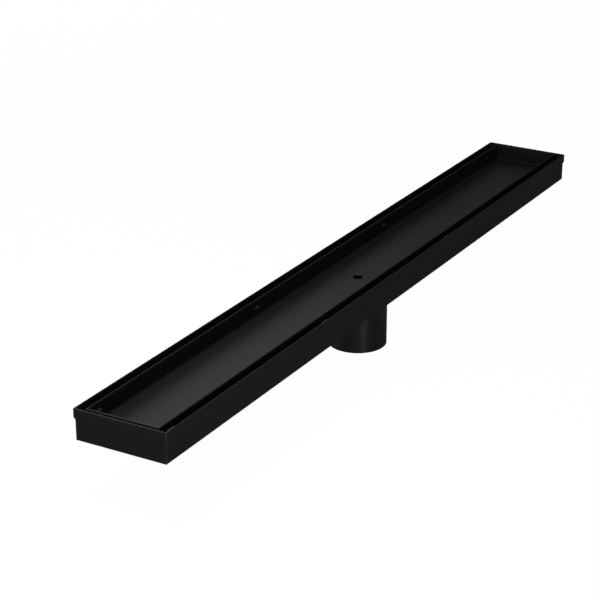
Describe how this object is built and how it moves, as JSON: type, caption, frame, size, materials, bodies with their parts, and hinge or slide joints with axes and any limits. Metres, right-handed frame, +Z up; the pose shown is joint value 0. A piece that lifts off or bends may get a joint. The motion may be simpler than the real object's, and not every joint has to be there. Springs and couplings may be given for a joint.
{
  "type": "linear shower drain",
  "caption": "Long narrow floor channel with a joggled wall and a central round outlet spigot; a lift-out tray for a tile hangs inside it and water drains through the gap around it.",
  "frame": {"origin": "centre of the outlet spigot's lower end", "axes": "+X along the channel, +Y across it, +Z up towards the rim"},
  "size_m": [0.6, 0.068, 0.0633],
  "materials": {
    "black_coating": "matte black coating on stainless steel sheet",
    "bare_steel": "plain stainless steel sheet"
  },
  "bodies": {
    "root": {"channel_body": "black_coating", "outlet_spigot": "black_coating", "tile_tray": "black_coating", "support_lugs": "black_coating", "hair_strainer": "bare_steel"}
  },
  "joints": []
}
